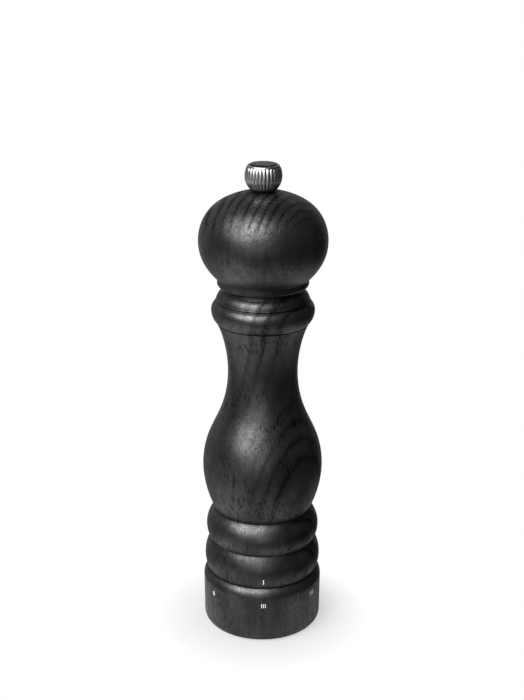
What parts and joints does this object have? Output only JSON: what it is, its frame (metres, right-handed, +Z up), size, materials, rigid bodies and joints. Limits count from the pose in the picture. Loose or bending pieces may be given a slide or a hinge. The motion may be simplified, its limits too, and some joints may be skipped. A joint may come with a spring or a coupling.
{
  "type": "pepper mill",
  "caption": "Turned wooden pepper mill: domed head turns the burrs, foot ring sets the grind, steel knob lets the head lift off for filling.",
  "frame": {"origin": "centre of the underside, on the surface that the mill stands on", "axes": "+Z up along the shaft; -Y towards the marks of the grinds, +X to their right"},
  "size_m": [0.0572, 0.0572, 0.22],
  "materials": {
    "stained_wood": "matte black-stained turned beech",
    "black_plastic": "moulded, matte",
    "zinc_steel": "zinc plated",
    "burr_steel": "case-hardened, dark",
    "spring_steel": "bright drawn",
    "shaft_steel": "drawn bar",
    "brass": "turned",
    "polished_steel": "polished and fluted",
    "gloss_cap": "gloss black, plain"
  },
  "bodies": {
    "body": {"wood_body": "stained_wood", "mechanism_housing": "black_plastic", "housing_screws": "zinc_steel", "outer_burr": "burr_steel", "bearing_spider": "black_plastic", "shaft_bush": "brass", "retaining_circlip": "spring_steel", "click_spring": "spring_steel"},
    "selector": {"selector_ring": "stained_wood", "adjusting_ring": "black_plastic"},
    "drive": {"drive_shaft": "shaft_steel", "upper_clip": "spring_steel", "lower_clip": "spring_steel", "spring_collar": "zinc_steel", "burr_spring": "spring_steel"},
    "rotor": {"inner_burr": "burr_steel"},
    "carrier": {"burr_carrier": "zinc_steel", "pivot_washer": "brass"},
    "head": {"head": "stained_wood", "drive_plate": "zinc_steel", "drive_plate_screws": "zinc_steel"},
    "knob_cap": {"knob_cap": "gloss_cap"},
    "knob": {"knob": "polished_steel"}
  },
  "joints": [
    {"name": "head_turn", "type": "hinge", "parent": "body", "child": "drive", "pos_m": [0, 0, 0.1], "axis": [0, 0, 1], "continuous": true},
    {"name": "grind_select", "type": "hinge", "parent": "body", "child": "selector", "pos_m": [0, 0, 0], "axis": [0, 0, 1], "range_deg": [-168, 112], "deforming": ["click_spring"]},
    {"name": "burr_shift", "type": "slide", "parent": "drive", "child": "rotor", "axis": [0, 0, 1], "range_m": [-0.00097, 0.00065], "deforming": ["burr_spring"]},
    {"name": "carrier_shift", "type": "slide", "parent": "body", "child": "carrier", "axis": [0, 0, 1], "range_m": [-0.00097, 0.00065]},
    {"name": "head_lift", "type": "slide", "parent": "drive", "child": "head", "axis": [0, 0, 1], "range_m": [0, 0.065]},
    {"name": "knob_rise", "type": "slide", "parent": "head", "child": "knob_cap", "axis": [0, 0, 1], "range_m": [0, 0.0081]},
    {"name": "knob_turn", "type": "hinge", "parent": "knob_cap", "child": "knob", "pos_m": [0, 0, 0.214], "axis": [0, 0, 1], "range_deg": [0, 2880]}
  ],
  "couplings": [
    {"joint": "burr_shift", "follows": "grind_select", "m_per_rad": 0.0003274},
    {"joint": "carrier_shift", "follows": "grind_select", "m_per_rad": 0.0003274},
    {"joint": "knob_rise", "follows": "knob_turn", "m_per_rad": 0.00015915}
  ]
}
